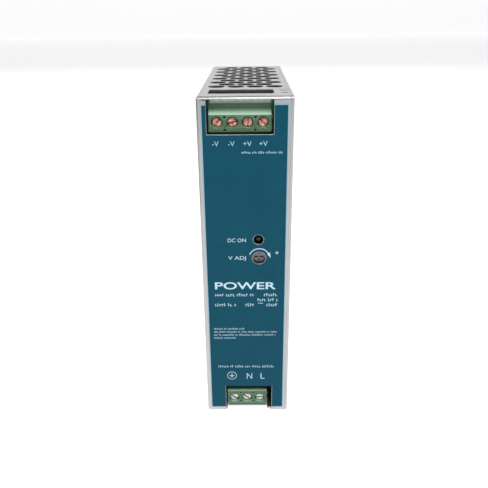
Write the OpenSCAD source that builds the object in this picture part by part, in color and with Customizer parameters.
// Slim DIN rail power supply, 24 V class, in a folded aluminium case.
// X runs to the right, Y from the front panel to the rail, Z up. The origin is on the bottom
// face, midway between the two sides and midway between the label and the back of the rail clip.

/* [Case] */
// Width of the case over both sides
case_w = 32; // [31:0.5:36]
// Height of the case
case_h = 125.2; // [124:0.2:127]
// Depth of the case from the front panel to the back panel
case_d = 97.8; // [96:0.2:100]
// Thickness of the case sheet
sheet = 1.0; // [0.8:0.1:1.2]
// Outer radius of the folded edges
bend_r = 1.2; // [1:0.1:1.6]

/* [Vents] */
// Diameter of the vent holes in the top and bottom
vent_d = 6; // [4:0.5:6]
// Distance between neighbouring vent holes
vent_pitch = 6.95; // [6.9:0.05:7]
// Rows of vent holes from front to back
vent_rows = 12; // [6:1:12]

/* [Label] */
// Thickness of the front label
label_t = 0.2; // [0.1:0.1:0.3]
// Diameter of the panel hole in front of the indicator
led_hole_d = 3.6; // [3.4:0.1:4]
// Diameter of the panel hole in front of the trimmer
trimmer_hole_d = 4.7; // [4.2:0.1:5]

/* [Terminals] */
// Distance between neighbouring poles
pole_pitch = 5.08; // [5:0.04:5.08]
// Diameter of the screwdriver holes
driver_hole_d = 3.8; // [3.5:0.1:3.8]
// Diameter of the screw heads
screw_head_d = 3.3; // [3:0.1:3.4]
// Diameter of the wire entries
wire_hole_d = 2.8; // [2.4:0.1:2.8]
// Distance a clamp cage travels from open to closed
clamp_travel = 2.4; // [1:0.2:2.4]

/* [Rail clip] */
// Height of the middle of the rail above the bottom face
rail_z = 64; // [60:1:68]
// Width of the rail over its two lips
rail_w = 35; // [35:0.1:35.2]
// Distance the rail clip stands out behind the case
clip_depth = 4; // [3.9:0.1:4.4]
// Distance the latch slides down to let the rail go
latch_travel = 3.5; // [2.5:0.5:3.5]

/* [Hidden] */
$fn = 48;
eps = 0.01;

// ---- places along the depth ----
total_d = label_t + case_d + clip_depth;
label_y = -total_d / 2;
front_y = label_y + label_t;
back_y = front_y + case_d;
rear_y = back_y + clip_depth;
right_x = case_w / 2;
left_x = -case_w / 2;
cover_x = right_x - sheet;
in_front_y = front_y + sheet;
in_back_y = back_y - sheet;
in_top_z = case_h - sheet;

// ---- terminal places ----
terminal_y = front_y + 1.3;
terminal_depth = 13;
output_x = -1.7;
input_x = -0.1;
output_base_z = case_h - 12.5;
output_reach = 10;
input_base_z = 9.3;
input_reach = 9;
end_wall = 0.25;
output_cut = [output_x - 11, output_x + 11.15, output_base_z + 0.2];
input_cut = [input_x - 8.4, input_x + 9.8, input_base_z + 2.9];
input_slot_hw = 8.05;
wire_slot = [front_y + 6.5, front_y + 16];
notch_depth = 16;

// ---- inside one pole: depths behind the screw face, heights from the closed edge ----
clamp_z = 4.0;
head_y = 0.8;
head_t = 1.4;
shoulder_y = head_y + head_t + 0.1;
chamber_y = shoulder_y + 0.6;
chamber_z = [0.7, 6.9];
chamber_w = 4.28;
cage_w = 4.0;
cage_h = 4.6;
cage_front = 1.0;
cage_window = 3.6;
cage_back = 0.6;
cage_wall = 0.6;
cage_y = chamber_y + 0.1 + clamp_travel;
shank_r = 1.25;
shank_end_y = chamber_y + 3.5;
shoulder_bore_r = 1.4;
cage_bore_r = 1.29;
bar_y = shank_end_y + 0.2;
bar_t = 0.7;
bar_w = 2.2;
leg_w = 1.0;
leg_past_board = 1.0;
wire_y = cage_y + cage_front + cage_window - 1.35;
screw_slot_w = 0.55;
screw_slot_t = 0.7;
mark_z = [1.45, 5.6];
mark_r = 0.48;
mark_depth = 1.2;
output_slot_turn = [57, 10, 85, -45];
input_slot_turn = [-40, -40, 0];

// ---- boards ----
board_t = 1.6;
board_x = cover_x - 3.5 - board_t;
board_lo = [in_front_y + 2.3, 3.5];
board_hi = [in_back_y - 5, in_top_z - 2.7];
terminal_board_y = terminal_y + terminal_depth;
standoff_h = cover_x - board_x - board_t;
standoff_r = 2.75;
standoff_at = [[-44.5, 52], [-44.5, 96], [34, 50], [34, 90]];
m3_r = 1.45;
m3_hole_r = 1.7;
m3_tapped_r = 1.5;
link_pitch = 2.54;
link_pin = 0.64;

// ---- front parts ----
led_at = [4.4, 75.4];
led_r = 1.5;
led_spacer_w = 4.4;
trimmer_at = [4.6, 68.3];
trimmer_w = 6.6;
trimmer_y = front_y + 1.9;
trimmer_d = 4.6;
rotor_r = 2.35;
rotor_slot_l = 3.4;

// ---- rail clip ----
plate_t = 1.2;
seat_y = back_y + plate_t;
plate_hw = 13;
plate_z = [rail_z - 47, rail_z + 22];
lip_gap = 1.35;
lip_y = seat_y + lip_gap;
lip_reach = 1.9;
hook_hw = 3;
hook_x = 8;
latch_hw = 7;
latch_y = seat_y + 0.1;
latch_t = 1.4;
latch_low_z = rail_z - 56;
nose_z = [rail_z - 20, rail_z - rail_w / 2 - 0.2];
guide_z = [rail_z - 28, rail_z - 24];
spring_z = [rail_z - 40, rail_z - 29];
spring_r = 1.0;
spring_wire = 0.4;
spring_turns = 7;
window_hw = 1.7;

// ---- colours ----
aluminium = [0.73, 0.73, 0.74];
label_blue = [0.09, 0.33, 0.42];
terminal_green = [0.29, 0.5, 0.33];
copper = [0.72, 0.45, 0.34];
steel = [0.62, 0.63, 0.64];
nickel = [0.75, 0.74, 0.7];
board_green = [0.1, 0.35, 0.2];
black = [0.08, 0.08, 0.09];

// ================= shared shapes =================

// A box from its lowest to its highest corner
module block(lo, hi) {
    translate(lo)
        cube(hi - lo);
}

// A round bar along Y
module rod_y(x, z, r, y0, y1) {
    translate([x, y0, z])
        rotate([-90, 0, 0])
            cylinder(r = r, h = y1 - y0);
}

// A round bar along X
module rod_x(y, z, r, x0, x1) {
    translate([x0, y, z])
        rotate([0, 90, 0])
            cylinder(r = r, h = x1 - x0);
}

// A round bar along Z
module rod_z(x, y, r, z0, z1) {
    translate([x, y, z0])
        cylinder(r = r, h = z1 - z0);
}

// A rectangle whose corners named in round are arcs; 0 is low low, then counter-clockwise
module rounded(lo, hi, r, round = [0, 1, 2, 3]) {
    corners = [lo, [hi.x, lo.y], hi, [lo.x, hi.y]];
    inward = [[1, 1], [-1, 1], [-1, -1], [1, -1]];
    difference() {
        translate(lo)
            square(hi - lo);
        for (i = round)
            translate(corners[i])
                difference() {
                    square(2 * r, center = true);
                    translate(r * inward[i])
                        circle(r = r);
                }
    }
}

// A pan head screw along Y, head towards +Y
module pan_screw_y(x, z, seat, head_r, head_h, length) {
    rod_y(x, z, m3_r, seat - length, seat);
    difference() {
        rod_y(x, z, head_r, seat, seat + head_h);
        for (turn = [0, 90])
            translate([x, seat + head_h, z])
                rotate([0, turn, 0])
                    cube([head_r * 1.2, head_h, 0.6], center = true);
    }
}

// ================= case =================

// Outer form of the folded case, rounded along its folded edges
module case_outline() {
    intersection() {
        translate([left_x, 0, 0])
            rotate([90, 0, 90])
                linear_extrude(cover_x - left_x)
                    rounded([front_y, 0], [back_y, case_h], bend_r);
        linear_extrude(case_h)
            rounded([left_x, front_y], [cover_x, back_y], bend_r, [0, 3]);
        translate([0, back_y, 0])
            rotate([90, 0, 0])
                linear_extrude(case_d)
                    rounded([left_x, 0], [cover_x, case_h], bend_r, [0, 3]);
    }
}

// Centres of the vent holes: rows of three and four take turns
vent_first_y = front_y + 24;
vent_row_step = vent_pitch * sqrt(3) / 2;
vent_places = [
    for (row = [0:vent_rows - 1])
        for (i = [0:(row % 2 == 0 ? 3 : 2)])
            [vent_pitch * (i - (row % 2 == 0 ? 1.5 : 1)), vent_first_y + row * vent_row_step]
];

seam_drop = 1.3;
seam_w = 0.12;
relief = 0.6;

module vents(z0, z1) {
    for (p = vent_places)
        rod_z(p.x, p.y, vent_d / 2, z0, z1);
}

// Slots that take the side cover's tabs, in the top and in the bottom
tab_slot_y = [front_y + 8.1, front_y + 13.9];
tab_slot_x = [11.95, 14.3];
tab_slot_w = 1.1;

module tab_slots(z0, z1) {
    for (y = tab_slot_y)
        block([tab_slot_x[0], y - tab_slot_w / 2, z0], [tab_slot_x[1], y + tab_slot_w / 2, z1]);
}

// Holes for the screws at the back: cover screws, then bracket screws
cover_screw_at = [[11.2, 10], [11.2, 106]];
bracket_screw_at = [for (x = [-9.5, 9.5]) for (dz = [-8, 8]) [x, rail_z + dz]];

module chassis() {
    color(aluminium)
        difference() {
            case_outline();
            block([left_x + sheet, in_front_y, sheet], [right_x, in_back_y, in_top_z]);
            vents(in_top_z - eps, case_h + eps);
            vents(-eps, sheet + eps);
            tab_slots(in_top_z - eps, case_h + eps);
            tab_slots(-eps, sheet + eps);
            // output terminal window in the front, and the wire slot over it
            block([output_cut[0], front_y - 1, output_cut[2]], [output_cut[1], in_front_y + eps, in_top_z]);
            block([output_cut[0] + 0.3, wire_slot[0], in_top_z - eps],
                  [output_cut[1] + 0.2, wire_slot[1], case_h + eps]);
            // input terminal notch, open to the front and the bottom
            block([input_cut[0], front_y - 1, -eps], [input_cut[1], in_front_y + eps, input_cut[2]]);
            block([input_x - input_slot_hw, front_y - 1, -eps],
                  [input_x + input_slot_hw, front_y + notch_depth, sheet + eps]);
            rod_y(led_at[0], led_at[1], led_hole_d / 2, front_y - 1, in_front_y + eps);
            rod_y(trimmer_at[0], trimmer_at[1], trimmer_hole_d / 2, front_y - 1, in_front_y + eps);
            for (p = concat(cover_screw_at, bracket_screw_at))
                rod_y(p.x, p.y, m3_tapped_r, in_back_y - eps, back_y + eps);
            // fold seam beside the output terminal, and the bend relief at the top right corner
            block([left_x - 1, front_y - 1, case_h - seam_drop - seam_w],
                  [output_cut[0] + eps, front_y + 0.2, case_h - seam_drop]);
            block([cover_x - relief, front_y - 1, case_h - relief],
                  [cover_x + 1, front_y + relief, case_h + 1]);
        }
}

// Tab that hooks the cover under the top or over the bottom sheet, drawn for the top
module cover_hook() {
    block([tab_slot_x[0] - 0.4, tab_slot_y[0] - 1, in_top_z - sheet],
          [cover_x + eps, tab_slot_y[1] + 1, in_top_z]);
    for (y = tab_slot_y)
        block([tab_slot_x[0] + 0.15, y - tab_slot_w / 2 + 0.15, in_top_z - eps],
              [tab_slot_x[1] - 0.15, y + tab_slot_w / 2 - 0.15, case_h - 0.3]);
}

module side_cover() {
    color(aluminium)
        difference() {
            union() {
                translate([cover_x, 0, 0])
                    rotate([90, 0, 90])
                        linear_extrude(sheet)
                            rounded([front_y, 0], [back_y, case_h], bend_r);
                cover_hook();
                translate([0, 0, case_h])
                    mirror([0, 0, 1])
                        cover_hook();
                for (p = cover_screw_at)
                    block([p.x - 3, in_back_y - sheet, p.y - 6], [cover_x + eps, in_back_y, p.y + 6]);
            }
            for (p = cover_screw_at)
                rod_y(p.x, p.y, m3_tapped_r, in_back_y - sheet - eps, in_back_y + eps);
            for (p = standoff_at)
                rod_x(p.x, p.y, m3_r + 0.3, cover_x - eps, right_x + eps);
        }
}

module cover_screws() {
    color(steel)
        for (p = cover_screw_at)
            pan_screw_y(p.x, p.y, back_y, 2.5, 1.6, 4.5);
}

// Label sheet with a margin round each opening of the front panel
label_x = [-14.45, 14.25];
label_z = [2.0, case_h - 2.5];
label_margin = 0.15;
label_hole_margin = 0.22;

module front_label() {
    color(label_blue)
        difference() {
            translate([0, front_y, 0])
                rotate([90, 0, 0])
                    linear_extrude(label_t)
                        rounded([label_x[0], label_z[0]], [label_x[1], label_z[1]], 0.5);
            block([output_cut[0] - label_margin, label_y - 1, output_cut[2] - label_margin],
                  [output_cut[1] + label_margin, front_y + 1, case_h]);
            block([input_cut[0] - label_margin, label_y - 1, -1],
                  [input_cut[1] + label_margin, front_y + 1, input_cut[2] + label_margin]);
            rod_y(led_at[0], led_at[1], led_hole_d / 2 + label_hole_margin, label_y - 1, front_y + 1);
            rod_y(trimmer_at[0], trimmer_at[1], trimmer_hole_d / 2 + label_hole_margin,
                  label_y - 1, front_y + 1);
        }
}

// ================= terminals =================

function pole_x(poles, i) = (i - (poles - 1) / 2) * pole_pitch;

// Put a shape drawn in a terminal's own axes at the output or the input
module at_output() {
    translate([output_x, terminal_y, output_base_z])
        children();
}

module at_input() {
    translate([input_x, terminal_y, input_base_z])
        mirror([0, 0, 1])
            children();
}

// Housing: screw face at y = 0, wires enter at z = reach
module terminal_housing(poles, reach, key_dots) {
    half_w = poles * pole_pitch / 2 + end_wall;
    funnel = 0.9;
    color(terminal_green)
        difference() {
            union() {
                translate([-half_w, 0, 0])
                    rotate([90, 0, 90])
                        linear_extrude(2 * half_w)
                            polygon([[0.8, 0], [0, 0.8], [0, 6.4], [1.8, 8.2], [1.8, reach],
                                     [terminal_depth, reach], [terminal_depth, 0]]);
                // joining ribs on the right end
                for (z = [1.6, 5.2])
                    block([half_w - eps, 0.4, z], [half_w + 0.35, terminal_depth - 1, z + 0.9]);
            }
            for (i = [0:poles - 1]) {
                x = pole_x(poles, i);
                rod_y(x, clamp_z, driver_hole_d / 2, -1, shoulder_y);
                rod_y(x, clamp_z, shoulder_bore_r, shoulder_y - eps, chamber_y + eps);
                block([x - chamber_w / 2, chamber_y, chamber_z[0]],
                      [x + chamber_w / 2, terminal_depth + 1, chamber_z[1]]);
                rod_z(x, wire_y, wire_hole_d / 2, chamber_z[1] - eps, reach + 1);
                translate([x, wire_y, reach - funnel])
                    cylinder(r1 = wire_hole_d / 2, r2 = wire_hole_d / 2 + 0.7, h = funnel + eps);
            }
            // moulding marks between the poles
            for (i = key_dots)
                for (z = mark_z)
                    rod_y(pole_x(poles, i) + pole_pitch / 2, z, mark_r, -1, mark_depth);
        }
}

// Captive screw: it turns, but stays where it is
module terminal_screw(slot_turn) {
    difference() {
        union() {
            rod_y(0, clamp_z, screw_head_d / 2, head_y, head_y + head_t);
            rod_y(0, clamp_z, shank_r, head_y + head_t - eps, shank_end_y);
        }
        translate([0, head_y, clamp_z])
            rotate([0, -slot_turn, 0])
                cube([screw_head_d + 1, 2 * screw_slot_t, screw_slot_w], center = true);
    }
}

// Cage that rises on the screw and pulls the wire against the contact bar
module clamp_cage() {
    depth = cage_front + cage_window + cage_back;
    color(nickel)
        difference() {
            block([-cage_w / 2, cage_y, clamp_z - cage_h / 2],
                  [cage_w / 2, cage_y + depth, clamp_z + cage_h / 2]);
            block([-cage_w / 2 + cage_wall, cage_y + cage_front, -1],
                  [cage_w / 2 - cage_wall, cage_y + cage_front + cage_window, 9]);
            rod_y(0, clamp_z, cage_bore_r, cage_y - 1, cage_y + cage_front + eps);
        }
}

// Fixed bar through the cage, and its leg back through the terminal board
module contact_bar() {
    block([-bar_w / 2, bar_y, chamber_z[0] + 0.1], [bar_w / 2, bar_y + bar_t, chamber_z[1] - 0.1]);
    block([-leg_w / 2, bar_y + bar_t - eps, chamber_z[0] + 0.1],
          [leg_w / 2, terminal_depth + board_t + leg_past_board, chamber_z[0] + 0.1 + bar_t]);
}

module contacts(poles) {
    color(nickel)
        for (i = [0:poles - 1])
            translate([pole_x(poles, i), 0, 0])
                contact_bar();
}

module output_terminal_housing() {
    at_output()
        terminal_housing(4, output_reach, [0, 2]);
}

module input_terminal_housing() {
    at_input()
        terminal_housing(3, input_reach, [0, 1]);
}

module output_contacts() {
    at_output()
        contacts(4);
}

module input_contacts() {
    at_input()
        contacts(3);
}

module output_screw(i) {
    color(copper)
        at_output()
            translate([pole_x(4, i), 0, 0])
                terminal_screw(output_slot_turn[i]);
}

module output_clamp(i) {
    at_output()
        translate([pole_x(4, i), 0, 0])
            clamp_cage();
}

module input_screw(i) {
    color(steel)
        at_input()
            translate([pole_x(3, i), 0, 0])
                terminal_screw(-input_slot_turn[i]);
}

module input_clamp(i) {
    at_input()
        translate([pole_x(3, i), 0, 0])
            clamp_cage();
}

// ================= boards =================

output_board_z = [output_base_z - 4, in_top_z - 0.8];
input_board_z = [sheet + 0.8, input_base_z + 7];
link_z = concat(
    [for (i = [0:4]) output_board_z[0] + 1.6 + i * link_pitch],
    [for (i = [0:4]) input_board_z[1] - 1.6 - i * link_pitch]
);

module terminal_board(x0, z, at_z, dir, block_x, poles) {
    leg_z = at_z + dir * (chamber_z[0] + 0.1 + bar_t / 2);
    color(board_green)
        difference() {
            block([x0, terminal_board_y, z[0]], [board_x, terminal_board_y + board_t, z[1]]);
            for (i = [0:poles - 1])
                rod_y(block_x + pole_x(poles, i), leg_z, 0.7, terminal_board_y - 1,
                      terminal_board_y + board_t + 1);
        }
}

module output_terminal_board() {
    terminal_board(-13.5, output_board_z, output_base_z, 1, output_x, 4);
}

module input_terminal_board() {
    terminal_board(-10, input_board_z, input_base_z, -1, input_x, 3);
}

module main_board() {
    color(board_green)
        difference() {
            block([board_x, board_lo[0], board_lo[1]], [board_x + board_t, board_hi[0], board_hi[1]]);
            for (p = standoff_at)
                rod_x(p.x, p.y, m3_hole_r, board_x - 1, board_x + board_t + 1);
            for (z = link_z)
                rod_x(terminal_board_y + board_t + 1.2, z, 0.5, board_x - 1, board_x + board_t + 1);
        }
}

// Angled pins that tie the terminal boards to the main board
module board_link_pins() {
    y = terminal_board_y + board_t;
    color(nickel)
        for (z = link_z)
            translate([0, 0, z - link_pin / 2]) {
                block([board_x - 3, y, 0], [board_x - 3 + link_pin, y + 1.2 + link_pin / 2, link_pin]);
                block([board_x - 3 + link_pin - eps, y + 1.2 - link_pin / 2, 0],
                      [board_x + board_t + 1, y + 1.2 + link_pin / 2, link_pin]);
            }
}

module board_standoffs() {
    color(steel)
        for (p = standoff_at)
            difference() {
                union() {
                    rod_x(p.x, p.y, standoff_r, board_x + board_t, cover_x);
                    rod_x(p.x, p.y, m3_r + 0.3, cover_x - eps, right_x);
                }
                rod_x(p.x, p.y, m3_tapped_r, board_x + board_t - 1, cover_x);
            }
}

module board_screws() {
    color(steel)
        for (p = standoff_at)
            difference() {
                union() {
                    rod_x(p.x, p.y, 2.7, board_x - 1.8, board_x);
                    rod_x(p.x, p.y, m3_r, board_x - eps, cover_x - 0.3);
                }
                for (turn = [0, 90])
                    translate([board_x - 1.8, p.x, p.y])
                        rotate([turn, 0, 0])
                            cube([1.8, 3.2, 0.6], center = true);
            }
}

module insulation_sheet() {
    x = board_x + board_t + 1.8;
    color([0.9, 0.88, 0.8])
        difference() {
            block([x, board_lo[0] - 1, board_lo[1] - 1.5], [x + 0.4, board_hi[0] + 1, board_hi[1] + 0.5]);
            for (p = standoff_at)
                rod_x(p.x, p.y, standoff_r + 0.4, x - 1, x + 1);
        }
}

// ================= front parts =================

module status_led() {
    color([0.1, 0.45, 0.2])
        union() {
            rod_y(led_at[0], led_at[1], led_r, in_front_y + 1.2, in_front_y + 4);
            translate([led_at[0], in_front_y + 1.2, led_at[1]])
                sphere(r = led_r);
            rod_y(led_at[0], led_at[1], led_r + 0.35, in_front_y + 4 - eps, in_front_y + 5);
        }
}

module led_spacer() {
    y = in_front_y + 5;
    color(black)
        difference() {
            block([led_at[0] - led_spacer_w / 2, y, led_at[1] - led_spacer_w / 2],
                  [board_x, y + 5, led_at[1] + led_spacer_w / 2]);
            for (dz = [-1.27, 1.27]) {
                rod_y(led_at[0], led_at[1] + dz, 0.4, y - 1, y + 2.9);
                rod_x(y + 2.5, led_at[1] + dz, 0.4, led_at[0] - 0.4, board_x + 1);
            }
        }
}

module trimmer_body() {
    lo = [trimmer_at[0] - trimmer_w / 2, trimmer_y, trimmer_at[1] - trimmer_w / 2];
    color([0.16, 0.3, 0.55])
        difference() {
            block(lo, lo + [trimmer_w, trimmer_d, trimmer_w]);
            rod_y(trimmer_at[0], trimmer_at[1], rotor_r + 0.06, trimmer_y - 1, trimmer_y + 1.3);
            rod_y(trimmer_at[0], trimmer_at[1], 0.86, trimmer_y + 1.2, trimmer_y + 3.2);
        }
}

module trimmer_rotor() {
    color([0.7, 0.71, 0.72])
        difference() {
            union() {
                rod_y(trimmer_at[0], trimmer_at[1], rotor_r, trimmer_y - 0.5, trimmer_y + 1.2);
                rod_y(trimmer_at[0], trimmer_at[1], 0.8, trimmer_y + 1.1, trimmer_y + 3.1);
            }
            for (turn = [0, 90])
                translate([trimmer_at[0], trimmer_y - 0.5, trimmer_at[1]])
                    rotate([0, turn, 0])
                        cube([rotor_slot_l, 1.2, 0.7], center = true);
        }
}

// Leads of the indicator and the trimmer, bent into the main board's front edge
module front_part_leads() {
    led_back_y = in_front_y + 5;
    end_x = board_x - 0.02;
    color(nickel) {
        for (dz = [-1.27, 1.27])
            translate([led_at[0] - 0.25, led_back_y + 0.02, led_at[1] + dz - 0.25]) {
                cube([0.5, 2.75, 0.5]);
                translate([0.4, 2.2, 0])
                    cube([end_x - led_at[0] - 0.15, 0.5, 0.5]);
            }
        for (dz = [-2.5, 0, 2.5])
            block([trimmer_at[0] + trimmer_w / 2 + 0.01, trimmer_y + 3, trimmer_at[1] + dz - 0.25],
                  [end_x, trimmer_y + 3.5, trimmer_at[1] + dz + 0.25]);
    }
}

// ================= rail clip =================

// Plate with fixed hooks above, guides and a spring tab for the latch below
module rail_bracket() {
    rail_top_z = rail_z + rail_w / 2;
    guide_gap = 0.3;
    color(steel)
        difference() {
            union() {
                block([-plate_hw, back_y, plate_z[0]], [plate_hw, seat_y, plate_z[1]]);
                for (x = [-hook_x, hook_x]) {
                    block([x - hook_hw, seat_y - eps, rail_top_z + 0.2],
                          [x + hook_hw, rear_y, rail_top_z + 2.7]);
                    block([x - hook_hw, lip_y, rail_top_z - lip_reach],
                          [x + hook_hw, rear_y, rail_top_z + 0.2 + eps]);
                }
                for (side = [0, 1])
                    mirror([side, 0, 0]) {
                        block([latch_hw + guide_gap, seat_y - eps, guide_z[0]],
                              [latch_hw + guide_gap + 1.2, rear_y, guide_z[1]]);
                        block([latch_hw - 1.5, rear_y - 1.2, guide_z[0]],
                              [latch_hw + guide_gap + 1.2, rear_y, guide_z[1]]);
                    }
                block([-1.3, seat_y - eps, spring_z[0] - 1.2], [1.3, rear_y - 0.3, spring_z[0]]);
            }
            for (p = bracket_screw_at)
                rod_y(p.x, p.y, m3_hole_r, back_y - 1, seat_y + 1);
        }
}

module bracket_screws() {
    color(steel)
        for (p = bracket_screw_at)
            pan_screw_y(p.x, p.y, seat_y, 2.6, 1.7, 4.4);
}

// Sliding latch: bevelled nose above, spring window, driver slot and lip below
module rail_latch() {
    nose_top_z = rail_z - rail_w / 2 + lip_reach;
    color([0.2, 0.2, 0.21])
        difference() {
            union() {
                block([-latch_hw, latch_y, latch_low_z], [latch_hw, latch_y + latch_t, nose_z[0] + eps]);
                translate([-latch_hw, 0, 0])
                    rotate([90, 0, 90])
                        linear_extrude(2 * latch_hw)
                            polygon([[latch_y, nose_z[0]], [latch_y, nose_z[1]], [lip_y, nose_z[1]],
                                     [lip_y, nose_top_z], [lip_y + 0.5, nose_top_z],
                                     [rear_y, nose_top_z - 1.6], [rear_y, nose_z[0]]]);
                block([-latch_hw, latch_y, latch_low_z], [latch_hw, rear_y, latch_low_z + 1.6]);
            }
            block([-window_hw, latch_y - 1, spring_z[0] - 1.6], [window_hw, rear_y, spring_z[1]]);
            block([-3, latch_y - 1, latch_low_z + 4], [3, rear_y + 1, latch_low_z + 6.5]);
        }
}

// Compression spring between the bracket's tab and the top of the latch's window
spring_y = seat_y + 1.35;
spring_steps = 14;
spring_sides = 8;
spring_gap = 0.05;

function spring_point(turn, side) =
    let (low = spring_z[0] + spring_wire / 2 + spring_gap)
    let (high = spring_z[1] - spring_wire / 2 - spring_gap)
    let (around = 360 * turn, section = 360 * side / spring_sides)
    let (r = spring_r + spring_wire / 2 * cos(section))
    [r * cos(around), spring_y + r * sin(around),
     low + (high - low) * turn / spring_turns + spring_wire / 2 * sin(section)];

module latch_spring() {
    rings = spring_turns * spring_steps;
    color(steel)
        polyhedron(
            points = [for (k = [0:rings]) for (s = [0:spring_sides - 1])
                spring_point(k / spring_steps, s)],
            faces = concat(
                [[for (s = [0:spring_sides - 1]) s]],
                [[for (s = [spring_sides - 1:-1:0]) rings * spring_sides + s]],
                [for (k = [0:rings - 1]) for (s = [0:spring_sides - 1])
                    let (a = k * spring_sides + s, b = k * spring_sides + (s + 1) % spring_sides)
                    [a, a + spring_sides, b + spring_sides, b]]
            )
        );
}

// ================= line side =================

// Two round leads from a part at x down to the main board
module leads(x, y, z, dy, dz, r = 0.3) {
    for (side = [-1, 1])
        rod_x(y + side * dy, z + side * dz, r, x, board_x - 0.02);
}

fuse_at = [board_x - 4.2, -28, 34];

module fuse() {
    color([0.85, 0.83, 0.76])
        union() {
            rod_z(fuse_at.x, fuse_at.y, 2.2, fuse_at.z - 7, fuse_at.z + 7);
            for (z = [fuse_at.z - 10, fuse_at.z + 6])
                rod_z(fuse_at.x, fuse_at.y, 2.6, z, z + 4);
            leads(fuse_at.x, fuse_at.y, fuse_at.z, 0, 9, 0.4);
        }
}

// Coated disc with two leads, flat side towards +Y
module disc_part(x, y, z, r, t) {
    rod_y(x, z, r, y - t / 2, y + t / 2);
    leads(x + r * 0.7, y, z, 0, r * 0.5);
}

module varistor() {
    color([0.15, 0.35, 0.6])
        disc_part(board_x - 7, -18, 33, 5.5, 4);
}

module thermistor() {
    color([0.12, 0.22, 0.15])
        disc_part(board_x - 7, 16, 40, 5, 4.5);
}

module y_capacitors() {
    color([0.2, 0.45, 0.7])
        for (z = [44, 55])
            disc_part(board_x - 6, -41, z, 4.2, 3.6);
}

x_cap_lo = [-5.5, -31, 5];
x_cap_size = [13, 9, 15];

module x_capacitor() {
    middle = x_cap_lo + x_cap_size / 2;
    color([0.85, 0.7, 0.15]) {
        block(x_cap_lo, x_cap_lo + x_cap_size);
        leads(x_cap_lo.x + x_cap_size.x - 0.1, middle.y, middle.z, 0, 5);
    }
}

// Ring core lying flat against the board, and its turns
module ring_core(at, r_in, r_out, thick) {
    translate(at)
        rotate([0, 90, 0])
            rotate_extrude()
                translate([r_in, -thick / 2])
                    square([r_out - r_in, thick]);
}

module ring_turns(at, r_in, r_out, thick, wire, angles) {
    gap = 0.15;
    for (a = angles)
        translate(at)
            rotate([a, 0, 0])
                translate([0, (r_in + r_out) / 2, 0])
                    difference() {
                        cube([thick + 2 * (gap + wire), r_out - r_in + 2 * (gap + wire), wire], center = true);
                        cube([thick + 2 * gap, r_out - r_in + 2 * gap, 2 * wire], center = true);
                    }
}

line_choke_at = [2.2, -5, 17];
line_choke_angles = concat([for (i = [-4:4]) i * 14], [for (i = [-4:4]) 180 + i * 14]);

module line_choke_core() {
    color([0.2, 0.35, 0.25])
        ring_core(line_choke_at, 5.5, 10, 9);
}

module line_choke_windings() {
    color(copper)
        ring_turns(line_choke_at, 5.5, 10, 9, 0.8, line_choke_angles);
}

bridge_at = [-4, 14, 56];

module bridge_rectifier() {
    color(black)
        union() {
            block(bridge_at, bridge_at + [11, 3.6, 15]);
            for (i = [0:3])
                rod_x(bridge_at.y + 1.8, bridge_at.z + 2 + i * 3.66, 0.4, bridge_at.x + 10, board_x - 0.02);
        }
}

bulk_cap_r = 9;
bulk_cap_at = [0, 30];
bulk_cap_z = [6, 42];

module bulk_capacitor() {
    color([0.12, 0.14, 0.2])
        union() {
            difference() {
                rod_z(bulk_cap_at.x, bulk_cap_at.y, bulk_cap_r, bulk_cap_z[0], bulk_cap_z[1]);
                translate([bulk_cap_at.x, bulk_cap_at.y, bulk_cap_z[1] - 2.6])
                    rotate_extrude()
                        translate([bulk_cap_r + 0.4, 0])
                            circle(r = 1);
            }
            for (dy = [-3.75, 3.75]) {
                rod_z(bulk_cap_at.x, bulk_cap_at.y + dy, 0.4, bulk_cap_z[1] - eps, bulk_cap_z[1] + 2.4);
                rod_x(bulk_cap_at.y + dy, bulk_cap_z[1] + 2, 0.4, bulk_cap_at.x, board_x - 0.02);
            }
        }
}

// ================= power stage =================

// TO-220 outline with its back on a plate at y, drawn towards -Y
module power_package(x, y, z) {
    block([x, y - 4.5, z], [x + 15, y, z + 10]);
    for (dz = [2.5, 5, 7.5])
        block([x + 15 - eps, y - 2.6, z + dz - 0.4], [board_x - 0.02, y - 2, z + dz + 0.4]);
}

primary_sink = [[-12.5, 25.5, 50], [board_x - 0.1, 27.5, 84]];
output_sink = [[-12.5, 24, 92], [board_x - 0.1, 26, 119]];

// Plate with fins on its back
module heat_sink(lo, hi) {
    fin_h = 5;
    color([0.62, 0.63, 0.66]) {
        block(lo, hi);
        for (z = [lo.z + 3:6:hi.z - 4])
            block([lo.x, hi.y - eps, z], [hi.x - 1, hi.y + fin_h, z + 1.2]);
    }
}

module primary_heat_sink() {
    heat_sink(primary_sink[0], primary_sink[1]);
}

module output_heat_sink() {
    heat_sink(output_sink[0], output_sink[1]);
}

module switching_transistor() {
    color(black)
        power_package(-7, primary_sink[0].y, 72);
}

module output_rectifier() {
    color(black)
        power_package(-7, output_sink[0].y, 100);
}

transformer_at = [-2, -4, 76];
core_size = [20, 26, 27];
core_leg = 6;
core_window = [11, 14];

// Two E halves: outer frame with a middle leg along Y
module transformer_core() {
    color([0.22, 0.22, 0.23])
        translate(transformer_at)
            difference() {
                cube([core_size.x - 6, core_size.y, core_size.z], center = true);
                for (side = [-1, 1])
                    translate([0, 0, side * (core_leg / 2 + core_window[0] / 2 - 1.5)])
                        cube([core_size.x, core_window[1], core_window[0] - 3], center = true);
            }
}

module transformer_bobbin() {
    leg = core_leg / 2 + 0.2;
    color([0.12, 0.12, 0.13])
        translate(transformer_at)
            difference() {
                union() {
                    for (side = [-1, 1])
                        translate([0, side * 6.2, 0])
                            cube([core_size.x, 1.2, 2 * leg + 14], center = true);
                    cube([16.4, 12.4, 2 * leg + 1.4], center = true);
                }
                cube([14.3, 20, 2 * leg], center = true);
            }
}

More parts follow.
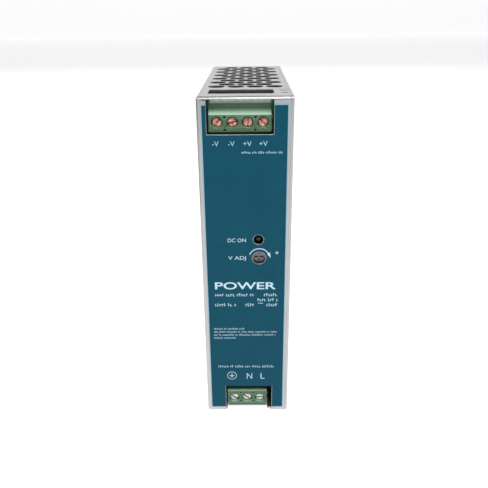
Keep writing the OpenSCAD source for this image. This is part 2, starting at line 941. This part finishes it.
module transformer_windings() {
    leg = core_leg / 2 + 0.9 + 0.1;
    color([0.85, 0.72, 0.2])
        translate(transformer_at)
            difference() {
                cube([core_size.x - 0.4, 11, 2 * leg + 12], center = true);
                cube([16.6, 12, 2 * leg + 0.2], center = true);
            }
}

chip_at = [[-24, 84], [-24, 68], [-36, 60]];
opto_at = [[-32, 76], [-32, 88]];

// Small packages on the component side of the board
module control_chips() {
    color(black) {
        for (p = chip_at)
            block([board_x - 3.4, p.x, p.y], [board_x - 0.4, p.x + 6.4, p.y + 9.6]);
        for (p = opto_at)
            block([board_x - 3.6, p.x, p.y], [board_x - 0.4, p.x + 6.4, p.y + 4.6]);
    }
}

// ================= output side =================

output_cap_at = [[-26, 100], [-12, 112], [0, 112], [12, 112]];
output_cap_r = 5;

module output_capacitors() {
    color([0.1, 0.16, 0.3])
        for (p = output_cap_at)
            union() {
                rod_x(p.x, p.y, output_cap_r, -10.5, board_x - 0.5);
                leads(board_x - 0.6, p.x, p.y, 0, 2.5);
            }
}

output_choke_at = [2.5, -8, 98];
output_choke_angles = [for (i = [0:15]) i * 20];

module output_choke_core() {
    color([0.75, 0.72, 0.3])
        ring_core(output_choke_at, 3.4, 6.6, 7);
}

module output_choke_winding() {
    color(copper)
        ring_turns(output_choke_at, 3.4, 6.6, 7, 0.7, output_choke_angles);
}

// ================= nodes =================

chassis();
side_cover();
front_label();
cover_screws();
output_terminal_housing();
output_contacts();
output_terminal_board();
for (i = [0:3]) output_screw(i);
for (i = [0:3]) output_clamp(i);
input_terminal_housing();
input_contacts();
input_terminal_board();
for (i = [0:2]) input_screw(i);
for (i = [0:2]) input_clamp(i);
main_board();
board_link_pins();
board_standoffs();
board_screws();
insulation_sheet();
status_led();
led_spacer();
trimmer_body();
trimmer_rotor();
front_part_leads();
rail_bracket();
bracket_screws();
rail_latch();
latch_spring();
fuse();
varistor();
x_capacitor();
y_capacitors();
line_choke_core();
line_choke_windings();
thermistor();
bridge_rectifier();
bulk_capacitor();
primary_heat_sink();
switching_transistor();
transformer_core();
transformer_bobbin();
transformer_windings();
control_chips();
output_heat_sink();
output_rectifier();
output_capacitors();
output_choke_core();
output_choke_winding();
